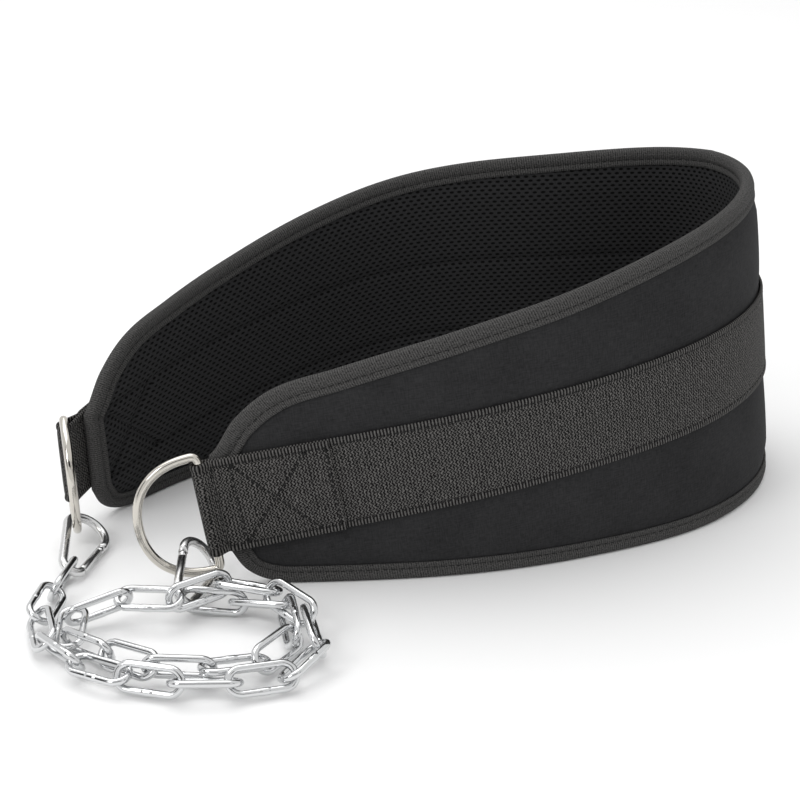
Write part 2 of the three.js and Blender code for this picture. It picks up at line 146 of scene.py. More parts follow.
def edges(s):
    """Heights of the band's lower and upper edge, and how steeply each of them runs."""
    _, _, _, rise, height, from_end = line(s)
    side = 1 if s < BELT_LENGTH / 2 else -1
    flap, flap_slope = read(PROFILE, 2, from_end)
    down, down_slope = read(PROFILE, 3, from_end)
    under = height - STRAP_WIDTH / 2
    top_slope = rise + side * flap_slope * BACK_HEIGHT / BELT_LENGTH
    bottom_slope = rise * (1 - down) - side * down_slope * under / BELT_LENGTH
    top = height + STRAP_WIDTH / 2 + flap * BACK_HEIGHT
    return max(under * (1 - down), 0), top, bottom_slope, top_slope


def half(inward):
    """Half the band's thickness at a distance in from its edge."""
    share = clamp(inward / PINCH_WIDTH, 0, 1)
    return (EDGE_THICKNESS + (BAND_THICKNESS - EDGE_THICKNESS) * share) / 2


print("back of the belt at", [round(v, 3) for v in place(BELT_LENGTH / 2, 0, 0)])

# %% [markdown]
# ## From a flat grid to cloth
# Cloth is cut flat and then bent. The pieces here are made the same way: the grid operator makes a
# flat sheet of squares, a function carries each point to its place, and the flat position is kept
# as a UV map in millimetres. The weave then follows the cloth, and its scale is the real one.
# Unwrapping a finished mesh would stretch the weave where the belt bends.

# %% Making, joining and finishing a piece
def carried(bm, columns, rows, carry):
    """Adds a grid. carry(i, j) gives a point in metres and its place on the flat cloth."""
    uv_layer = bm.loops.layers.uv.get("cloth") or bm.loops.layers.uv.new("cloth")
    made = bmesh.ops.create_grid(bm, x_segments=columns, y_segments=rows, size=0.5)["verts"]
    flat = {}
    for vert in made:
        i, j = round((vert.co.x + 0.5) * columns), round((vert.co.y + 0.5) * rows)
        vert.co, flat[vert] = carry(i, j)
    for face in {face for vert in made for face in vert.link_faces}:
        for loop in face.loops:
            loop[uv_layer].uv = flat[loop.vert]


MERGE = 1e-7


def piece(name, bm, body=BODY):
    """Welds a mesh, turns its faces outwards and makes it a piece that rides on a body."""
    bmesh.ops.remove_doubles(bm, verts=bm.verts, dist=MERGE)
    bmesh.ops.recalc_face_normals(bm, faces=bm.faces)
    mesh = bpy.data.meshes.new(name)
    bm.to_mesh(mesh)
    bm.free()
    mesh.polygons.foreach_set("use_smooth", [True] * len(mesh.polygons))
    made = bpy.data.objects.new(name, mesh)
    bpy.context.scene.collection.objects.link(made)
    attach(made, body)
    print(name, len(mesh.polygons), "faces")
    return made


# %% [markdown]
# ## The neoprene band
# The band is foam between neoprene and a mesh lining. It is thick in the middle and pressed thin
# where the tape grips its edge and where the webbing is sewn down. A solidify modifier would make
# it as thick everywhere. Two grids, the outer and the inner face, are bridged along their rims
# instead, which gives one closed pad with its own thickness at each place.

# %% Where the columns and rows of the band lie
ALONG = 300
ZONES = (14, 16, 14)
UP = sum(ZONES)
SEAM = STRAP_WIDTH / 2 - 3
END_SHARE = 0.0024  # how far the band ends inside its tape, as a share of the belt's length
CROWDING = 0.11


def station(i, count=ALONG):
    """Distances along the belt, closer together at its rounded ends."""
    t = i / count
    eased = t - CROWDING * math.sin(2 * math.pi * t)
    return (END_SHARE + (1 - 2 * END_SHARE) * eased) * BELT_LENGTH


def row_height(j, low, height, high):
    """Height of a row. Rows run along both edges and both seams, and crowd beside them."""
    stops = (low, max(height - SEAM, low + 1), min(height + SEAM, high - 1), high)
    zone = 0
    while j > ZONES[zone]:
        j -= ZONES[zone]
        zone += 1
    share = (1 - math.cos(math.pi * j / ZONES[zone])) / 2
    return stops[zone] + (stops[zone + 1] - stops[zone]) * share


def band_place(i, j, out):
    """A place on the band at column i and row j, between its two bound edges."""
    s = station(i)
    bottom, top, bottom_slope, top_slope = edges(s)
    low_run, high_run = math.hypot(1, bottom_slope), math.hypot(1, top_slope)
    low, high = bottom + BINDING_SEAT * low_run, top - BINDING_SEAT * high_run
    height = line(s)[4]
    z = row_height(j, low, height, high)
    ends = min(s - END_SHARE * BELT_LENGTH, (1 - END_SHARE) * BELT_LENGTH - s)
    inward = min((z - low) / low_run, (high - z) / high_run, ends)
    return place(s, z, out(half(inward), inward, z - height, s)), (s, z - height)


print("the band has", ALONG, "columns and", UP, "rows on each face")

# %% The outer face, swollen between its seams
SWELL = 1.1
RIPPLE = 0.22
UNDER_WEBBING = 0.25


def rising(distance, reach):
    """From 0 at a seam towards 1 away from it, most of the way within its reach in millimetres."""
    return 1 - math.exp(-max(distance, 0) / reach)


def outer_face(h, inward, off, s):
    """Neoprene swells between the tape and the webbing, and lies flat under the webbing."""
    beside = abs(off) - STRAP_WIDTH / 2
    swell = SWELL * rising(beside, 7) * rising(inward - 9, 8)
    ripple = RIPPLE * math.sin(s / 31 + off / 23) * rising(beside, 12) * rising(inward, 20)
    return h + swell + ripple - UNDER_WEBBING


# %% [markdown]
# ## The lining
# The lining is a thin spacer mesh on the inside. The webbing's stitches go right through the band
# and pull it in, along two rows and a cross at each end. These creases could be a bump in the
# material, but from the side they show in the outline, so they are in the shape.

# %% The inner face, pulled in by its seams
LINING_SWELL = 0.7
BETWEEN_LAYERS = 0.3
SEAM_DEPTH = 1.1
SEAM_WIDTH = 1.8
CROSS = (12, 50)  # where the cross starts and ends, from an end of the belt
CROSS_WIDTH = 3.5
CROSS_PULL = 2
ASLANT = 0.6  # turns a height into the distance square to the cross


def seam(off, s):
    """How far stitches pull the lining in, along two seams and a cross at each end."""
    rows = sum(math.exp(-(((off - side * SEAM) / SEAM_WIDTH) ** 2)) for side in (-1, 1))
    middle, reach = sum(CROSS) / 2, (CROSS[1] - CROSS[0]) / 2
    along = min(s, BELT_LENGTH - s) - middle
    if abs(along) > reach or abs(off) > SEAM:
        return SEAM_DEPTH * rows
    aside = abs(abs(off) / SEAM - abs(along) / reach) * SEAM * ASLANT
    return SEAM_DEPTH * max(rows, CROSS_PULL * math.exp(-((aside / CROSS_WIDTH) ** 2)))


def inner_face(h, inward, off, s):
    """The mesh side swells a little too, and the seams fade out beside the tape."""
    return -h - LINING_SWELL * rising(inward - 9, 10) + seam(off, s) * min(inward / 8, 1)


def over_lining(*at):
    return inner_face(*at) + LINING_THICKNESS


# %% The band and its lining as two closed pads
def pad(name, front, back):
    """A closed pad between two faces, each a function that gives its distance out."""
    bm = bmesh.new()
    carried(bm, ALONG, UP, lambda i, j: band_place(i, j, front))
    carried(bm, ALONG, UP, lambda i, j: band_place(i, j, back))
    rims = [edge for edge in bm.edges if edge.is_boundary]
    bmesh.ops.bridge_loops(bm, edges=rims)
    return piece(name, bm)


band = pad("neoprene_band", outer_face, lambda *at: over_lining(*at) + BETWEEN_LAYERS)
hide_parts("belt_body")
lining = pad("mesh_lining", over_lining, inner_face)
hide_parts("belt_lining")

# %% [markdown]
# ## The edge tape
# Ribbed tape is folded over the raw edge and sewn through. It rolls fat over the edge, dips where
# the thread pulls it down and ends in a narrow flat lip. A curve with a round bevel would show
# only the roll. A profile of a few points is carried round the whole outline, so the roll, the dip
# and the lip run along every edge and round the corners.

# %% The outline of the band
EDGE_COLUMNS = 220
END_COLUMNS = 8
inner_columns = [station(i, EDGE_COLUMNS) for i in range(1, EDGE_COLUMNS)]
outline = [Vector((s, edges(s)[0])) for s in [0, *inner_columns, BELT_LENGTH]]
far_low, far_high = edges(BELT_LENGTH)[:2]
between = [i / END_COLUMNS for i in range(1, END_COLUMNS)]
outline += [Vector((BELT_LENGTH, far_low + (far_high - far_low) * t)) for t in between]
outline += [Vector((s, edges(s)[1])) for s in [BELT_LENGTH, *reversed(inner_columns), 0]]
near_low, near_high = edges(0)[:2]
outline += [Vector((0, near_high + (near_low - near_high) * t)) for t in between]
run_round = [0]
for a, b in zip(outline, outline[1:] + outline[:1]):
    run_round.append(run_round[-1] + (b - a).length)
print("the tape runs", round(run_round[-1]), "mm round the band")

# %% The tape's section, carried round the outline
# Depth in from the edge, and height over the band's face, from the lip over the dip to the roll.
THREAD_DEPTH = 6.5
THREAD_DIP = 0.62
TAPE_PROFILE = [
    (BINDING_WIDTH, 0.12), (10.05, 0.9), (9.3, 1.35), (8, 1.4), (7.1, 1.05),
    (THREAD_DEPTH, THREAD_DIP), (5.9, 1.1), (5, 1.75), (3.8, 1.95), (2.6, 1.8),
]
# Where the roll turns over the edge, as depth and distance out from the band's middle.
TAPE_ROLL = [(1.3, 3.1), (0.45, 2.2)]
SEAT_DEPTH = 1.35
SEAT_PLAY = 0.12


def on_outline(i, depth, out):
    """A place at a depth in from the outline, square to it."""
    count = len(outline)
    here, before, after = outline[i % count], outline[i % count - 1], outline[(i + 1) % count]
    into, away = (here - before).normalized(), (after - here).normalized()
    way = (into + away).normalized()
    depth /= max(way.dot(into), 0.5)
    return place(here.x - way.y * depth, here.y + way.x * depth, out)


def tape_section():
    """The tape's closed section: lip, dip and roll on the outside, and the same on the inside."""
    side = [(depth, half(depth - BINDING_SEAT) + rise) for depth, rise in TAPE_PROFILE]
    side += TAPE_ROLL
    back = [(depth, -out) for depth, out in reversed(side)]
    seat = [(SEAT_DEPTH, -half(0) - SEAT_PLAY), (SEAT_DEPTH, half(0) + SEAT_PLAY)]
    return [*side, (0, 0), *back, *seat]


section = tape_section()
section_run = [0]
for a, b in zip(section, section[1:] + section[:1]):
    section_run.append(section_run[-1] + math.dist(a, b))


def tape_place(i, j):
    depth, out = section[j % len(section)]
    return on_outline(i, depth, out), (run_round[i], section_run[j])


bm = bmesh.new()
carried(bm, len(outline), len(section), tape_place)
tape = piece("edge_tape", bm)
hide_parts("belt_binding")

# %% [markdown]
# ## The webbing
# The webbing is one strip. It starts on top of itself, runs to the ring's bar, goes round it and
# comes back underneath to run the length of the belt, and does the same at the other end. A flat
# ribbon would look like paper at its edges, so its section has two fat woven edges, and it is
# carried along that path.

# %% The webbing's path
RING_WIRE = 5
CLEARANCE = 0.3
STRAP_GAP = 0.55
GROOVE = 0.6
LOOPS = {"near": 8.7, "far": 13.5}  # how far the webbing reaches past each end of the belt
strap_low = BAND_THICKNESS / 2 + STRAP_GAP + STRAP_THICKNESS / 2
strap_high = strap_low + STRAP_THICKNESS + CLEARANCE
LOOP_RADIUS = RING_WIRE / 2 + CLEARANCE + STRAP_THICKNESS / 2
bar_out = strap_low + LOOP_RADIUS * 0.6


def smoothed(points):
    """Cuts the corners of an open path, keeping its two ends."""
    cut = [points[0]]
    for a, b in zip(points, points[1:]):
        cut += [a.lerp(b, 0.25), a.lerp(b, 0.75)]
    return [*cut, points[-1]]


def loop_path(loop):
    """The webbing from its free end on top, to the bar and round it, seen from its edge."""
    shares = (1, 0.9, 0.75, 0.6, 0.45, 0.3, 0.18, 0.08, 0.05)
    flat = [Vector((share * FOLD_LENGTH, strap_high)) for share in shares]
    flat += [Vector((s, strap_high - GROOVE)) for s in (1.6, 0.4)]
    centre = Vector((LOOP_RADIUS - loop, bar_out))
    turn = [math.radians(angle) for angle in range(70, 291, 20)]
    return flat + [centre + Vector((math.cos(a), math.sin(a))) * LOOP_RADIUS for a in turn]


MARGIN = 5
MIDDLE_STEPS = 240
near_path = smoothed(loop_path(LOOPS["near"]))
far_path = [Vector((BELT_LENGTH - p.x, p.y)) for p in reversed(smoothed(loop_path(LOOPS["far"])))]
free_length = BELT_LENGTH - 2 * MARGIN
middle_path = [
    Vector((MARGIN + free_length * k / MIDDLE_STEPS, strap_low)) for k in range(MIDDLE_STEPS + 1)
]
strap_path = near_path + middle_path + far_path
strap_run = [0]
for a, b in zip(strap_path, strap_path[1:]):
    strap_run.append(strap_run[-1] + (b - a).length)
print("the webbing is", round(strap_run[-1]), "mm long")

# %% Its section, carried along the path
def strap_point(i, across, lift):
    """A place on the webbing: point of its path, distance up and distance out from its middle."""
    before, after = strap_path[max(i - 1, 0)], strap_path[min(i + 1, len(strap_path) - 1)]
    way = (after - before).normalized()
    here = strap_path[i]
    height = line(here.x)[4]
    return place(here.x - way.y * lift, height + across, here.y + way.x * lift)


# Shares of half the width and half the thickness, from a woven edge over its groove inwards.
HALF_SECTION = [
    (-1, 0.15), (-0.99, 0.62), (-0.965, 0.86), (-0.93, 0.92),
    (-0.89, 0.75), (-0.86, 0.3), (-0.8, 0.68), (-0.5, 0.8),
]
face_section = [*HALF_SECTION, (0, 0.8), *[(-a, t) for a, t in reversed(HALF_SECTION)]]
strap_section = [(a * STRAP_WIDTH / 2, t) for a, t in face_section]
strap_section += [(a, -t) for a, t in reversed(strap_section)]


def strap_place(i, j):
    across, lift = strap_section[j % len(strap_section)]
    return strap_point(i, across, lift), (strap_run[i], across)


bm = bmesh.new()
carried(bm, len(strap_path) - 1, len(strap_section), strap_place)
bmesh.ops.remove_doubles(bm, verts=bm.verts, dist=MERGE)
bmesh.ops.holes_fill(bm, edges=[edge for edge in bm.edges if edge.is_boundary], sides=0)
webbing = piece("webbing_strap", bm)
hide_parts("strap")

# %% [markdown]
# ## The stitches
# Thread shows as short dashes that sink a little into the cloth. A curve that dives in and out of
# the cloth would be closer to real thread, and far heavier. Each stitch is a small ball stretched
# along its row, with few faces, because there are many. They are made in small batches, because
# adding to a large mesh is slow.

# %% Rows of stitches
STITCH_GAP = 0.3  # as a share of a stitch
TAPE_STITCH = 4.4
LONG_STITCH = 4
BOX_STITCH = 3.2
TAPE_THREAD = 0.75
LINING_THREAD = 0.7
WEBBING_THREAD = 1.1
CROSS_THREAD = 1.5
BATCH = 20


def stitches(bm, points, length, thickness):
    """Lays stitches of one length along a row of points, each a stretched ball with few faces."""
    run = [0]
    for a, b in zip(points, points[1:]):
        run.append(run[-1] + (b - a).length)
    count = int(run[-1] / (length * MM))
    batch = bmesh.new()
    k = 0
    for n in range(count):
        ends = []
        for end_at in (n + STITCH_GAP / 2, n + 1 - STITCH_GAP / 2):
            target = end_at * run[-1] / count
            while run[k + 1] < target:
                k += 1
            ends.append(points[k].lerp(points[k + 1], (target - run[k]) / (run[k + 1] - run[k])))
        middle, way = (ends[0] + ends[1]) / 2, ends[1] - ends[0]
        size = Matrix.Diagonal((thickness * MM / 2, thickness * MM / 2, way.length / 2, 1))
        spot = Matrix.Translation(middle) @ way.to_track_quat("Z", "Y").to_matrix().to_4x4() @ size
        bmesh.ops.create_uvsphere(batch, u_segments=6, v_segments=4, radius=1, matrix=spot)
        k = max(k - 2, 0)
        if n % BATCH == BATCH - 1 or n == count - 1:
            done = bpy.data.meshes.new("batch")
            batch.to_mesh(done)
            bm.from_mesh(done)
            bpy.data.meshes.remove(done)
            batch.clear()
    batch.free()


def tape_row(side):
    lift = side * (half(THREAD_DEPTH - BINDING_SEAT) + THREAD_DIP)
    return [on_outline(i, THREAD_DEPTH, lift) for i in range(len(outline) + 1)]


bm = bmesh.new()
for side in (-1, 1):
    stitches(bm, tape_row(side), TAPE_STITCH, TAPE_THREAD)
tape_thread = piece("tape_stitches", bm)

# %% The webbing's long rows, its boxes with a cross and the rows across it
def straight_row(start, end, low, high, out, sink=0, steps=60):
    """A row between two distances along the belt and two heights from the webbing's middle."""
    row = []
    for k in range(steps + 1):
        s = start + (end - start) * k / steps
        off = low + (high - low) * k / steps
        row.append(place(s, line(s)[4] + off, out + seam(off, s) * sink))
    return row


LONG_STEPS = 400
EDGE_ROW = 21.6
FIRST_ROW = 1
LAST_ROW = FOLD_LENGTH - 2.2
BOX = (11, FOLD_LENGTH - 12)
SIDE_SINK = 0.1
CROSS_RISE = 0.2
# How far out the threads lie on the lower and the upper layer.
on_low, on_high = strap_low + 0.42, strap_high + 0.55
# The rows across the webbing: distance from its end, how far out, thickness.
# The first row across sits in the groove; its thick dark thread is partly painted groove shade.
ACROSS_ROWS = (
    (FIRST_ROW, on_high - GROOVE, 1.4), (BOX[0], on_high, 1.4), (LAST_ROW, on_high, 1.4),
    (BOX[1], on_high, 0.9),
)
bm = bmesh.new()
for off in (-EDGE_ROW, EDGE_ROW):
    ends = FOLD_LENGTH + 1, BELT_LENGTH - FOLD_LENGTH - 1
    long_row = straight_row(*ends, off, off, on_low, steps=LONG_STEPS)
    stitches(bm, long_row, LONG_STITCH, WEBBING_THREAD)
for start, sign in ((0, 1), (BELT_LENGTH, -1)):
    sides = [start + sign * s for s in (FIRST_ROW, FOLD_LENGTH - FIRST_ROW)]
    box = [start + sign * s for s in BOX]
    for off in (-EDGE_ROW, EDGE_ROW):
        side_row = straight_row(*sides, off, off, on_high - SIDE_SINK)
        stitches(bm, side_row, BOX_STITCH, WEBBING_THREAD)
        cross_row = straight_row(*box, off, -off, on_high + CROSS_RISE)
        stitches(bm, cross_row, BOX_STITCH, CROSS_THREAD)
    for s, out, thickness in ACROSS_ROWS:
        here = start + sign * s
        stitches(bm, straight_row(here, here, -EDGE_ROW, EDGE_ROW, out), BOX_STITCH, thickness)
strap_thread = piece("strap_stitches", bm)

# %% The same rows seen inside the band, where they sink with the seams
on_lining = -BAND_THICKNESS / 2 - 0.55
SINK = 0.8
bm = bmesh.new()
for off in (-SEAM, SEAM):
    ends = CROSS[0], BELT_LENGTH - CROSS[0]
    long_row = straight_row(*ends, off, off, on_lining, SINK, LONG_STEPS)
    stitches(bm, long_row, LONG_STITCH, LINING_THREAD)
    for start, sign in ((0, 1), (BELT_LENGTH, -1)):
        box = [start + sign * s for s in CROSS]
        stitches(bm, straight_row(*box, off, -off, on_lining, SINK), BOX_STITCH, LINING_THREAD)
lining_thread = piece("lining_stitches", bm)

# %% [markdown]
# ## Wire
# The rings, hooks and links are bent from round steel wire. A path with a round bevel is what a
# bending jig does, so each starts as a curve. It is made a mesh and then laid in the place of its
# solid, which the lesson works out as a jig would: along its length, across it and round it.

# %% Bending a wire and laying a piece in its place
def bent(path, diameter, closed, resolution=5):
    """A round wire bent along a path given in millimetres, flat or not, as a mesh."""
    curve = bpy.data.curves.new("bend", "CURVE")
    curve.dimensions = "3D"
    curve.bevel_depth = diameter / 2 * MM
    curve.bevel_resolution = resolution
    curve.use_fill_caps = True
    spline = curve.splines.new("POLY")
    spline.points.add(len(path) - 1)
    for point, spot in zip(spline.points, path):
        point.co = (*Vector(spot).to_3d() * MM, 1)
    spline.use_cyclic_u = closed
    holder = bpy.data.objects.new("bend", curve)
    bm = bmesh.new()
    bm.from_mesh(bpy.data.meshes.new_from_object(holder))
    bpy.data.objects.remove(holder)
    return bm


def arc(x, y, radius, start, end, steps):
    angles = [start + (end - start) * k / steps for k in range(steps + 1)]
    return [(x + radius * math.cos(a), y + radius * math.sin(a)) for a in angles]


def laid(x_way, y_way, origin):
    """The matrix that lays a piece with its two directions at a point given in millimetres."""
    z_way = x_way.cross(y_way)
    return Matrix.Translation(origin * MM) @ Matrix((x_way, y_way, z_way)).transposed().to_4x4()


# %% [markdown]
# ## The loose end
# A short end of cut thread hangs below the near fold. Hair would be the usual way to make many of
# them. For one, a thin bent wire is enough.

# %% The loose end of thread
# Distance along the belt, height from the webbing's middle, distance out from its lower layer.
TAIL = [(60, -21, 1.6), (60.2, -24.5, 1.9), (60.6, -27.5, 2.8), (60.2, -30, 3.8)]
TAIL_THREAD = 0.7
tail = [place(s, line(s)[4] + off, strap_low + lift) / MM for s, off, lift in TAIL]
loose_thread = piece("loose_thread", bent(tail, TAIL_THREAD, False, 2))

# %% [markdown]
# ## The D-rings
# Each D-ring has a straight bar, which lies in the webbing's loop, and a bow for the hook. It
# could be drawn by hand. Here its points are worked out from its span and depth, so that a hook
# can hang at any share of its length.

# %% The ring's path
RING_SPAN = 63
RING_DEPTH = 36.7
RING_CORNER = 4
RINGS = {"near": (12, -2.2), "far": (-42, -2.2)}  # degrees turned outwards, and slid up the bar


def bezier(points, steps):
    """Points of a Bezier curve through its handles, without the first one."""
    out = []
    for k in range(1, steps + 1):
        row = [Vector(p) for p in points]
        while len(row) > 1:
            row = [a.lerp(b, k / steps) for a, b in zip(row, row[1:])]
        out.append(tuple(row[0]))
    return out


a = RING_SPAN / 2
ring_path = [(0, a - RING_CORNER)]
ring_path += bezier([(0, a - RING_CORNER), (0, a), (RING_CORNER, a)], 8)
bow = [(RING_CORNER, a), (RING_DEPTH * 0.72, a), (RING_DEPTH, a * 0.55), (RING_DEPTH, 0)]
ring_path += bezier(bow, 24)
ring_path += bezier([(x, -y) for x, y in reversed(bow)], 24)
ring_path += bezier([(RING_CORNER, -a), (0, -a), (0, -a + RING_CORNER)], 8)
ring_run = [0]
for p, q in zip(ring_path, ring_path[1:]):
    ring_run.append(ring_run[-1] + math.dist(p, q))


def on_ring(share):
    """The point of a ring's path at a share of its length from corner to corner."""
    target = share * ring_run[-1]
    k = next(k for k in range(1, len(ring_run)) if ring_run[k] >= target)
    t = (target - ring_run[k - 1]) / (ring_run[k] - ring_run[k - 1])
    return Vector(ring_path[k - 1]).lerp(Vector(ring_path[k]), t)


print("a ring's bow is", round(ring_run[-1], 1), "mm long from corner to corner")

# %% Two rings, laid in the webbing's loops
ring_lays = {}
rings = []
for end, side in (("near", -1), ("far", 1)):
    s = LOOP_RADIUS - LOOPS[end] if side < 0 else BELT_LENGTH - LOOP_RADIUS + LOOPS[end]
    height = line(s)[4]
    centre = place(s, height, bar_out) / MM
    bar = (place(s, height + STRAP_WIDTH / 2, bar_out) / MM - centre).normalized()
    along = place(s + side, line(s + side)[4], bar_out) / MM - centre
    along = (along - bar * along.dot(bar)).normalized()
    outward = along.cross(bar) * side
    turn, slide = RINGS[end]
    turn = math.radians(turn)
    reach = along * math.cos(turn) + outward.normalized() * math.sin(turn)
    ring_lays[end] = laid(reach, bar, centre + bar * slide)
    bm = bent(ring_path, RING_WIRE, True)
    bmesh.ops.transform(bm, matrix=ring_lays[end], verts=bm.verts)
    ring = piece(f"steel_ring_{end}", bm)
    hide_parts(f"ring_{end}")
    rings.append(ring)

# %% [markdown]
# ## The snap hooks
# A pear-shaped snap hook is one bent wire with a gap on one side, closed by a gate that turns
# inwards on a pin. The gate is a turned part, so it is spun from its profile, which is easier than
# cutting a cylinder. The hooks hang from the rings, so each is laid from a point of its ring.

# %% The wire of a hook
HOOK_WIRE = 5
HOOK_LENGTH = 55
HOOK_WIDTH = 28.5
HOOK_NECK = 16.7
NOSE_LENGTH = 4
GATE_DIAMETER = 4.6
HINGE_GAP = 0.4
# How each hook hangs: share of the ring's bow, degrees in plan, upwards and about its length, and
# how far the ring is from the hook's crown and off its spine.
HOOKS = {
    "near": {"bow": 0.9, "heading": 82, "rise": 4, "roll": 230, "from_crown": 16, "across": 5},
    "far": {"bow": 0.72, "heading": 85, "rise": 4, "roll": 35, "from_crown": 13, "across": 5.5},
}
CROWN = (HOOK_WIDTH - HOOK_WIRE) / 2
NECK = (HOOK_NECK - HOOK_WIRE) / 2
HOOK_SPREAD = HOOK_LENGTH - HOOK_WIDTH / 2 - HOOK_NECK / 2
TAPER = math.asin((CROWN - NECK) / HOOK_SPREAD)
GATE_PIVOT = GATE_DIAMETER / 2 + HINGE_GAP
GATE_LENGTH = HOOK_SPREAD * math.cos(TAPER) - NOSE_LENGTH - HINGE_GAP - GATE_PIVOT
quarter = math.pi / 2
wide = arc(HOOK_SPREAD, 0, CROWN, -quarter - TAPER, quarter + TAPER, 28)
narrow = arc(0, 0, NECK, quarter + TAPER, 3 * quarter - TAPER, 20)
nose = (wide[0][0] - NOSE_LENGTH * math.cos(TAPER), wide[0][1] + NOSE_LENGTH * math.sin(TAPER))
print("a gate is", round(GATE_DIAMETER / 2 + GATE_LENGTH, 1), "mm long")

# %% A gate, spun from its profile
# The profile as shares of its radius, and at the head with a distance from its end.
GATE_ROUND = [(0, -1), (0.38, -0.92), (0.71, -0.71), (0.92, -0.38), (1, 0)]
GATE_HEAD = [(1, 4.2), (0.82, 3.8), (0.82, 3.2), (1, 2.8), (1, 0.8), (0.75, 0), (0, 0)]


def gate_mesh():
    """A gate turned from its profile: round at the hinge, with a small head at the nose."""
    r = GATE_DIAMETER / 2
    profile = [(r * x, r * y) for x, y in GATE_ROUND]
    profile += [(r * x, GATE_LENGTH - back) for x, back in GATE_HEAD]
    bm = bmesh.new()
    ring = [bm.verts.new((x * MM, y * MM, 0)) for x, y in profile]
    rim = [bm.edges.new(pair) for pair in zip(ring, ring[1:])]
    turned = {"cent": (0, 0, 0), "axis": (0, 1, 0), "angle": 2 * math.pi, "steps": 20}
    bmesh.ops.spin(bm, geom=ring + rim, use_merge=True, **turned)
    return bm


# %% Two hooks and two gates, hung from the rings
hook_middles = {}
hooks = []
gates = []
for end in ("near", "far"):
    hook = HOOKS[end]
    on_bow = on_ring(hook["bow"])
    seat = (ring_lays[end] @ Vector((on_bow.x * MM, on_bow.y * MM, 0))) / MM
    heading, rise, roll = (math.radians(hook[key]) for key in ("heading", "rise", "roll"))
    flat = Vector((math.cos(heading), math.sin(heading), 0))
    length = flat * math.cos(rise) + Vector((0, 0, math.sin(rise)))
    level = Vector((-flat.y, flat.x, 0))
    spine = level * math.cos(roll) + length.cross(level) * math.sin(roll)
    origin = seat - length * (HOOK_SPREAD + CROWN - hook["from_crown"]) - spine * hook["across"]
    hook_middles[end] = origin
    bm = bent([nose, *wide, *narrow], HOOK_WIRE, False)
    bmesh.ops.transform(bm, matrix=laid(length, spine, origin), verts=bm.verts)
    made = piece(f"snap_hook_{end}", bm)
    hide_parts(f"hook_{end}")
    hooks.append(made)
    x = -NECK * math.sin(TAPER) + GATE_PIVOT * math.cos(TAPER)
    y = -NECK * math.cos(TAPER) - GATE_PIVOT * math.sin(TAPER)
    hinge = origin + length * x + spine * y
    gate_way = length * math.cos(TAPER) - spine * math.sin(TAPER)
    gate_side = gate_way.cross(length.cross(spine))
    bm = gate_mesh()
    bmesh.ops.transform(bm, matrix=laid(gate_side, gate_way, hinge), verts=bm.verts)
    made = piece(f"hook_gate_{end}", bm, body=f"gate_{end}")
    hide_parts(f"gate_{end}")
    gates.append(made)

# %% [markdown]
# ## The chain
# Each link is the same bent wire, welded at the middle of one side. A simulation could drop the
# chain, but it would fall as it likes and not as in the photograph. So the links follow one smooth
# line over the floor, evenly spaced, through a few chosen places, and each is rolled about its
# length as a chain falls.

# %% The line of the chain
LINK_WIRE = 3.8
LINK_LENGTH = 37
LINK_WIDTH = 16.5
LINK_COUNT = 24
HOOK_HOLD = 3.4
SPAN_STEPS = 120
# Places that the chain passes, in millimetres from the belt's near end and over the floor.
ROUTE = [
    (-86, -68, 9), (-64, -101, 9), (-5, -124, 10), (52, -106, 9),
    (52, -76, 14), (47, -63, 15), (13, -38, 19), (-22, -53, 16),
    (-37, -47, 16), (-78, -68, 8), (-62, -84, 9), (-17, -113, 12),
    (37, -94, 8), (42, -76, 10), (36, -52, 13), (-12, -40, 7),
]
# Degrees that each link is rolled about its length.
ROLLS = [
    65, -35, 40, -60, 10, 65, 155, 45, -30, 65, 125, 20,
    95, 160, 65, 5, -75, 50, 110, 175, 55, -65, 30, 85,
]


def spaced(points, count):
    """Points spread evenly along a smooth curve through the given ones."""
    whole = [points[0] * 2 - points[1], *points, points[-1] * 2 - points[-2]]
    fine = []
    for a, b, c, d in zip(whole, whole[1:], whole[2:], whole[3:]):
        near, on, past = (b - a).length ** 0.5, (c - b).length ** 0.5, (d - c).length ** 0.5
        m = ((b - a) / near - (c - a) / (near + on) + (c - b) / on) * on
        n = ((c - b) / on - (d - b) / (on + past) + (d - c) / past) * on
        for k in range(SPAN_STEPS):
            t = k / SPAN_STEPS
            curve = (-3 * b + 3 * c - 2 * m - n) * t**2 + (2 * b - 2 * c + m + n) * t**3
            fine.append(b + m * t + curve)
    fine.append(points[-1])
    run = [0]
    for p, q in zip(fine, fine[1:]):
        run.append(run[-1] + (q - p).length)
    out, k = [], 0
    for n in range(count + 1):
        target = run[-1] * n / count
        while k < len(run) - 2 and run[k + 1] < target:
            k += 1
        out.append(fine[k].lerp(fine[k + 1], (target - run[k]) / (run[k + 1] - run[k])))
    return out


shift = Vector((*NEAR_END, 0))
floor_route = [Vector(p) + shift for p in ROUTE]
start = hook_middles["far"] + (floor_route[0] - hook_middles["far"]).normalized() * HOOK_HOLD
finish = hook_middles["near"] + (floor_route[-1] - hook_middles["near"]).normalized() * HOOK_HOLD
joints = spaced([start, *floor_route, finish], LINK_COUNT)
print("chain pitch", round((joints[1] - joints[0]).length, 2), "mm")

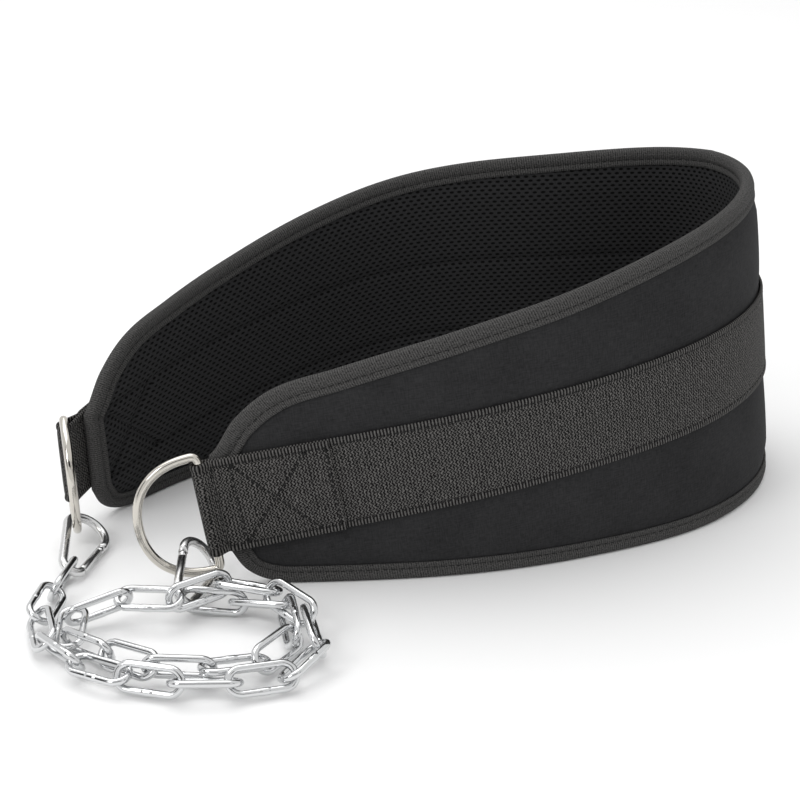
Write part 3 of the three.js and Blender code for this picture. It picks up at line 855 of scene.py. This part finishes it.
# %% The links, each with its weld
link_bend = (LINK_WIDTH - LINK_WIRE) / 2
link_half = (LINK_LENGTH - LINK_WIDTH) / 2
WELD_STEPS = [-3.4, -2.6, -2.2, -1.2, 1.2, 2.2, 2.6, 3.4]
WELD_GROWTH = 1.07
WELD_REACH = 2.4
link_path = arc(link_half, 0, link_bend, -quarter, quarter, 14)
link_path += arc(-link_half, 0, link_bend, quarter, 3 * quarter, 14)
link_path += [(x, -link_bend) for x in WELD_STEPS]
links = []
for i in range(LINK_COUNT):
    along = (joints[i + 1] - joints[i]).normalized()
    level = Vector((-along.y, along.x, 0)).normalized()
    roll = math.radians(ROLLS[i])
    across = level * math.cos(roll) + along.cross(level) * math.sin(roll)
    bm = bent(link_path, LINK_WIRE, True, 3)
    for vert in bm.verts:
        x, y = vert.co.x / MM, vert.co.y / MM
        if abs(x) < WELD_REACH and y < 0:
            from_axis = vert.co.y + link_bend * MM
            vert.co.y = from_axis * WELD_GROWTH - link_bend * MM
            vert.co.z *= WELD_GROWTH
    lay = laid(along, across, (joints[i] + joints[i + 1]) / 2)
    bmesh.ops.transform(bm, matrix=lay, verts=bm.verts)
    link = piece(f"chain_link_{i + 1:02d}", bm)
    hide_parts(f"link_{i + 1:02d}")
    links.append(link)

# %% [markdown]
# ## Materials
# Cloth is dull and shows its weave, so its materials are mostly pattern and bump, drawn on the
# flat place of each thread. Plated steel is the opposite: almost no colour of its own, smooth, and
# seen by what it reflects. One function turns a screen colour to a linear one and one adds a node.
# finish_of makes a material, and dressed draws a pattern on it, as a colour and as a relief.

# %% Colours and nodes
def linear(code):
    """A colour given as on a screen, such as 2b2b2d, as a linear one."""
    parts = [int(code[k:k + 2], 16) / 255 for k in (0, 2, 4)]
    return (*[p / 12.92 if p <= 0.04045 else ((p + 0.055) / 1.055) ** 2.4 for p in parts], 1)


def node(tree, kind, settings={}, inputs={}):
    """Adds a node with its settings. An input takes a value, a node or one output of a node."""
    made = tree.nodes.new("ShaderNode" + kind)
    for key, value in settings.items():
        setattr(made, key, value)
    for key, value in inputs.items():
        if isinstance(value, bpy.types.Node):
            value = value.outputs[0]
        if isinstance(value, bpy.types.NodeSocket):
            tree.links.new(value, made.inputs[key])
        else:
            made.inputs[key].default_value = value
    return made


def finish_of(name, settings):
    """A new material whose shader takes the given numbers and colours, and the tree to draw in."""
    print("finish", name)
    material = bpy.data.materials.new(name)
    material.use_nodes = True
    shader = material.node_tree.nodes["Principled BSDF"]
    for key, value in settings.items():
        shader.inputs[key].default_value = value
    return material, material.node_tree, shader


def dressed(tree, shader, tone, dark, light, strength, depth):
    """Draws a tone between two colours, and raises the surface by it to a depth in millimetres."""
    ramp = node(tree, "ValToRGB", {}, {0: tone})
    ramp.color_ramp.elements[0].color = linear(dark)
    ramp.color_ramp.elements[1].color = linear(light)
    bump = node(tree, "Bump", {}, {"Strength": strength, "Distance": depth * MM, "Height": tone})
    tree.links.new(ramp.outputs[0], shader.inputs["Base Color"])
    tree.links.new(bump.outputs[0], shader.inputs["Normal"])


# %% [markdown]
# ## Neoprene
# Neoprene is covered with a thin knitted jersey, matte and almost black, which wears paler in
# broad patches. A picture of cloth could be mapped on it, but would repeat. Two noises stretched
# across each other make the grain, and a large soft one the wear.

# %% The finish of the neoprene
neoprene, tree, shader = finish_of("neoprene", {
    "Roughness": 0.9, "Specular IOR Level": 0.12, "Sheen Weight": 0.01, "Sheen Roughness": 0.4,
})
uv = node(tree, "UVMap", {"uv_map": "cloth"})
long_grain = node(tree, "Mapping", {}, {"Vector": uv, "Scale": (0.22, 1.5, 1)})
cross_grain = node(tree, "Mapping", {}, {"Vector": uv, "Scale": (1.5, 0.22, 1)})
weft = node(tree, "TexNoise", {}, {"Vector": long_grain, "Scale": 1, "Detail": 2})
warp = node(tree, "TexNoise", {}, {"Vector": cross_grain, "Scale": 1, "Detail": 2})
grain = node(tree, "Math", {"operation": "ADD"}, {0: weft, 1: warp})
patch = node(tree, "TexNoise", {}, {"Vector": uv, "Scale": 0.03, "Detail": 4})
tone = node(tree, "Math", {"operation": "MULTIPLY_ADD"}, {0: patch, 1: 0.7, 2: grain})
level = node(tree, "MapRange", {}, {"Value": tone, "From Min": 0.9, "From Max": 1.8})
dressed(tree, shader, level, "1e1e1f", "333334", 0.5, 0.25)

# %% [markdown]
# ## Spacer mesh
# The mesh is knitted in rows of small eye-shaped holes, each row half a hole further on. Thousands
# of real holes would be slow to render, so each is a dark spot in a repeated cell, and a bump
# pushes it in.

# %% The finish of the lining
MESH_PITCH = (4.5, 2.4)
spacer, tree, shader = finish_of("spacer_mesh", {
    "Roughness": 0.8, "Specular IOR Level": 0.12, "Sheen Weight": 0.01, "Sheen Roughness": 0.4,
})
uv = node(tree, "UVMap", {"uv_map": "cloth"})
flat = node(tree, "SeparateXYZ", {}, {0: uv})
row = node(tree, "Math", {"operation": "DIVIDE"}, {0: flat.outputs[1], 1: MESH_PITCH[1]})
whole = node(tree, "Math", {"operation": "FLOOR"}, {0: row})
odd = node(tree, "Math", {"operation": "FLOORED_MODULO"}, {0: whole, 1: 2})
count = node(tree, "Math", {"operation": "DIVIDE"}, {0: flat.outputs[0], 1: MESH_PITCH[0]})
column = node(tree, "Math", {"operation": "MULTIPLY_ADD"}, {0: odd, 1: 0.5, 2: count})
across = node(tree, "Math", {"operation": "FRACT"}, {0: column})
down = node(tree, "Math", {"operation": "FRACT"}, {0: row})
inside = node(tree, "CombineXYZ", {}, {0: across, 1: down})
centred = {"Vector": inside, "Location": (-1.7, -1.6, 0), "Scale": (3.4, 3.2, 1)}
eye_shape = node(tree, "Mapping", {}, centred)
far = node(tree, "VectorMath", {"operation": "LENGTH"}, {0: eye_shape})
eye_range = {"Value": far.outputs["Value"], "From Min": 0.75, "From Max": 1.1}
ground = node(tree, "MapRange", {}, eye_range)
fibre = node(tree, "TexNoise", {}, {"Vector": uv, "Scale": 1.6, "Detail": 2})
weave = node(tree, "Math", {"operation": "MULTIPLY_ADD"}, {0: fibre, 1: 0.8, 2: 0.4})
tone = node(tree, "Math", {"operation": "MULTIPLY"}, {0: ground, 1: weave})
dressed(tree, shader, tone, "020202", "323233", 0.9, 0.6)

# %% [markdown]
# ## Ribbed tape
# The tape is woven with ribs across it, and is paler than the neoprene. The ribs are narrower than
# a face of the mesh, so they could not be modelled with it. A wave along the cloth draws them, and
# a noise breaks them up.

# %% The finish of the tape
RIB = 1.3
ribbed, tree, shader = finish_of("ribbed_tape", {
    "Roughness": 0.85, "Specular IOR Level": 0.15, "Sheen Weight": 0.015, "Sheen Roughness": 0.4,
})
uv = node(tree, "UVMap", {"uv_map": "cloth"})
per_rib = math.pi / 10 / RIB
ribs_at = {"Vector": uv, "Scale": per_rib, "Distortion": 0.6}
ribs = node(tree, "TexWave", {"bands_direction": "X"}, ribs_at)
fibre = node(tree, "TexNoise", {}, {"Vector": uv, "Scale": 1.1, "Detail": 3, "Roughness": 0.7})
tone = node(tree, "Math", {"operation": "MULTIPLY_ADD"}, {0: ribs, 1: 0.2, 2: fibre})
level = node(tree, "MapRange", {}, {"Value": tone, "From Min": 0.38, "From Max": 0.86})
dressed(tree, shader, level, "151515", "626160", 1, 0.5)

# %% [markdown]
# ## Woven webbing
# The webbing is a herringbone of fat grey-flecked threads. A sine along the cloth draws straight
# threads, and a ping-pong node turns their slant back every millimetre, which makes the zigzag.
# Along both woven edges the pattern gives way to a ladder, which a wave texture draws.

# %% The finish of the webbing
THREAD = 1.75
CHEVRON = 1.05
RUNG = 1.7
LADDER = (20.4, 21)  # where the herringbone gives way to the ladder, from the webbing's middle
woven, tree, shader = finish_of("woven_webbing", {
    "Roughness": 0.75, "Specular IOR Level": 0.12, "Sheen Weight": 0.01, "Sheen Roughness": 0.35,
})
uv = node(tree, "UVMap", {"uv_map": "cloth"})
flat = node(tree, "SeparateXYZ", {}, {0: uv})
zigzag = node(tree, "Math", {"operation": "PINGPONG"}, {0: flat.outputs[1], 1: CHEVRON})
drift = node(tree, "TexNoise", {}, {"Vector": uv, "Scale": 0.5, "Detail": 2})
loose = node(tree, "Math", {"operation": "MULTIPLY_ADD"}, {0: drift, 1: 2.2, 2: flat.outputs[0]})
slant = node(tree, "Math", {"operation": "ADD"}, {0: loose, 1: zigzag})
phase = node(tree, "Math", {"operation": "MULTIPLY"}, {0: slant, 1: 2 * math.pi / THREAD})
threads = node(tree, "Math", {"operation": "SINE"}, {0: phase})
fleck = node(tree, "TexNoise", {}, {"Vector": uv, "Scale": 1.0, "Detail": 3, "Roughness": 0.8})
body = node(tree, "Math", {"operation": "MULTIPLY_ADD"}, {0: threads, 1: 0.2, 2: fleck})
per_rung = math.pi / 10 / RUNG
rungs_at = {"Vector": uv, "Scale": per_rung, "Distortion": 0.5}
ladder = node(tree, "TexWave", {"bands_direction": "X"}, rungs_at)
faint = node(tree, "Math", {"operation": "MULTIPLY"}, {0: fleck, 1: 0.62})
rungs = node(tree, "Math", {"operation": "MULTIPLY_ADD"}, {0: ladder, 1: 0.34, 2: faint})
off_middle = node(tree, "Math", {"operation": "ABSOLUTE"}, {0: flat.outputs[1]})
edge_range = {"Value": off_middle, "From Min": LADDER[0], "From Max": LADDER[1]}
at_edge = node(tree, "MapRange", {}, edge_range)
mixed = node(tree, "Mix", {"data_type": "FLOAT"}, {0: at_edge, 2: body, 3: rungs})
level = node(tree, "MapRange", {}, {"Value": mixed, "From Min": 0.38, "From Max": 0.8})
dressed(tree, shader, level, "080808", "7c7a78", 1, 0.6)

# %% [markdown]
# ## Thread
# The thread is twisted polyester, darker and smoother than the cloth. A faint gloss makes each
# stitch show. The twist is too fine to model, so a small noise stands for it.

# %% The finish of the thread
gloss = {"Roughness": 0.5, "Specular IOR Level": 0.3}
thread_finish, tree, shader = finish_of("polyester_thread", gloss)
spot = node(tree, "TexCoord").outputs["Object"]
twist = node(tree, "TexNoise", {}, {"Vector": spot, "Scale": 2500, "Detail": 1})
dressed(tree, shader, twist, "030303", "0c0c0c", 0.4, 0.2)

# %% [markdown]
# ## Plated steel
# The rings are warm nickel, the hooks satin chrome and the chain bright zinc. Scratches could be
# painted on, but at this size an uneven roughness and a faint bump are enough. The three differ
# only in a few numbers, so one loop makes them.

# %% The finishes of the metal
plated = {}
for name, base, low, high, waves in (
    ("nickel_plated_steel", "cac6be", 0.08, 0.18, 0.1),
    ("satin_chromed_steel", "d6d6d6", 0.2, 0.32, 0.12),
    ("zinc_plated_steel", "d4d5d6", 0.06, 0.16, 0.16),
):
    plated[name], tree, shader = finish_of(name, {"Base Color": linear(base), "Metallic": 1})
    spot = node(tree, "TexCoord").outputs["Object"]
    smear = node(tree, "TexNoise", {}, {"Vector": spot, "Scale": 90, "Detail": 3})
    rough = node(tree, "MapRange", {}, {"Value": smear, "To Min": low, "To Max": high})
    tree.links.new(rough.outputs[0], shader.inputs["Roughness"])
    dents = node(tree, "TexNoise", {}, {"Vector": spot, "Scale": 260, "Detail": 2})
    bump = node(tree, "Bump", {}, {"Strength": waves, "Distance": 0.3 * MM, "Height": dents})
    tree.links.new(bump.outputs[0], shader.inputs["Normal"])
nickel, satin, zinc = plated.values()

# %% Every piece gets its finish
for made, finish, slot in [
    (band, neoprene, "neoprene"), (lining, spacer, "spacer_mesh"), (tape, ribbed, "edge_tape"),
    (webbing, woven, "webbing"), (tape_thread, thread_finish, "edge_tape"),
    (strap_thread, thread_finish, "webbing"), (lining_thread, thread_finish, "spacer_mesh"),
    (loose_thread, thread_finish, "webbing"),
    *[(ring, nickel, "ring_metal") for ring in rings],
    *[(hook, satin, "clip_metal") for hook in hooks + gates],
    *[(link, zinc, "chain_metal") for link in links],
]:
    made.data.materials.clear()
    made.data.materials.append(finish)

# %% [markdown]
# ## Floor, light and camera
# The belt stands on a white floor in soft light from above. Chrome needs something dark to
# reflect, so three dark cards stand round the camera, as a photographer would place them. They are
# hidden from the camera and throw no shadow, so only reflections show them.

# %% The floor and the cards
def card(name, size, place_at, turn, code):
    """A flat sheet of paper that belongs to the studio and not to the belt."""
    bm = bmesh.new()
    bmesh.ops.create_grid(bm, x_segments=1, y_segments=1, size=0.5)
    mesh = bpy.data.meshes.new(name)
    bm.to_mesh(mesh)
    bm.free()
    made = bpy.data.objects.new(name, mesh)
    made.scale = (size[0], size[1], 1)
    made.location = place_at
    made.rotation_euler = [math.radians(angle) for angle in turn]
    bpy.context.scene.collection.objects.link(made)
    material = finish_of(name + "_paper", {"Base Color": linear(code), "Roughness": 0.9})[0]
    made.data.materials.append(material)
    return made


card("floor", (14, 14), (0, 3, 0), (0, 0, 0), "f6f6f6")
for name, size, place_at, turn in (
    ("card_left", (1.1, 1.4), (-1.7, -0.9, 0.9), (90, 0, 62)),
    ("card_right", (0.9, 1.4), (1.6, -1.3, 0.9), (90, 0, -50)),
    ("card_front", (2.6, 0.7), (0, -2.3, 1.6), (55, 0, 0)),
):
    dark = card(name, size, place_at, turn, "0a0a0a")
    dark.visible_camera = dark.visible_diffuse = dark.visible_shadow = False

# %% The light
def lamp(name, place_at, target, size, power):
    light = bpy.data.lights.new(name, "AREA")
    light.shape = "RECTANGLE"
    light.size, light.size_y = size
    light.energy = power
    holder = bpy.data.objects.new(name, light)
    holder.location = place_at
    holder.rotation_euler = (Vector(target) - Vector(place_at)).to_track_quat("-Z", "Y").to_euler()
    bpy.context.scene.collection.objects.link(holder)
    print(name, "light of", power, "W")


lamp("overhead", (-0.4, 0.5, 1.7), (0, 0, 0), (1.6, 1.6), 12)
lamp("key", (-1.3, -1.1, 1.3), (0, 0, 0.05), (0.7, 0.7), 8)
world = bpy.data.worlds.new("studio")
world.use_nodes = True
background = world.node_tree.nodes["Background"]
background.inputs["Color"].default_value = (1, 1, 1, 1)
background.inputs["Strength"].default_value = 0.88
bpy.context.scene.world = world
bpy.context.scene.view_settings.view_transform = "Standard"

# %% The camera at the photograph's angle
camera = bpy.data.cameras.new("camera")
camera.sensor_fit = "HORIZONTAL"
camera.angle = math.radians(22.33)
camera.clip_end = 30
eye = bpy.data.objects.new("camera", camera)
stand, aim = Vector((-0.01444, -0.99669, 0.5055)), Vector((-0.01444, 0.00931, 0.08))
eye.location = stand
eye.rotation_euler = (aim - stand).to_track_quat("-Z", "Y").to_euler()
bpy.context.scene.collection.objects.link(eye)
bpy.context.scene.camera = eye
print("the camera stands", round((aim - stand).length, 2), "m away")
